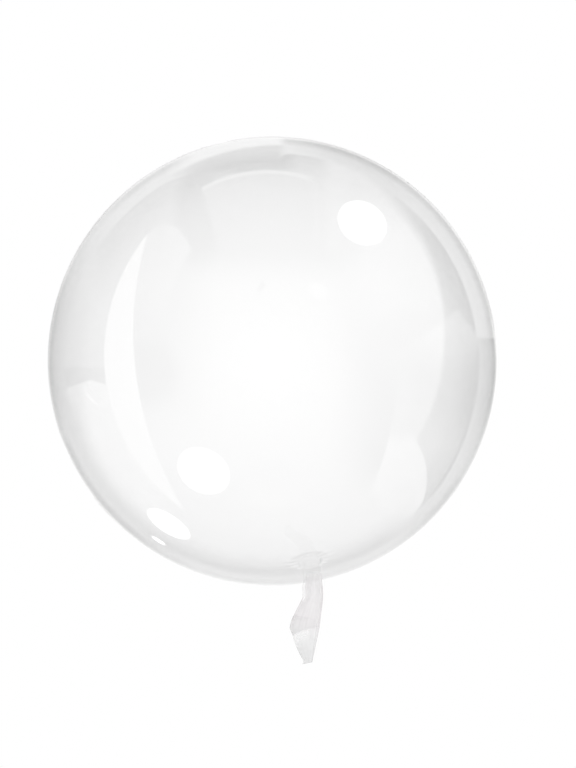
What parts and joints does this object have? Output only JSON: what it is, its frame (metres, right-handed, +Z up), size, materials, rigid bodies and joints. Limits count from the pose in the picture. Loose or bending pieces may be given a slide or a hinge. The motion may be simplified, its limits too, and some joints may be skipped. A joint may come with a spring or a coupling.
{
  "type": "clear bubble balloon",
  "caption": "Round clear film balloon lying on its side, with a gathered neck and a flat, twisted filling tail.",
  "frame": {"origin": "centre of the round patch on which the balloon rests on the ground", "axes": "+Z is up; -Y is the side that the neck and the filling tail point to, a few degrees below level"},
  "size_m": [0.5, 0.6104, 0.4977],
  "materials": {
    "clear_film": "gloss",
    "tail_film": "satin"
  },
  "bodies": {
    "root": {"envelope": "clear_film", "filling_tail": "tail_film"}
  },
  "joints": []
}
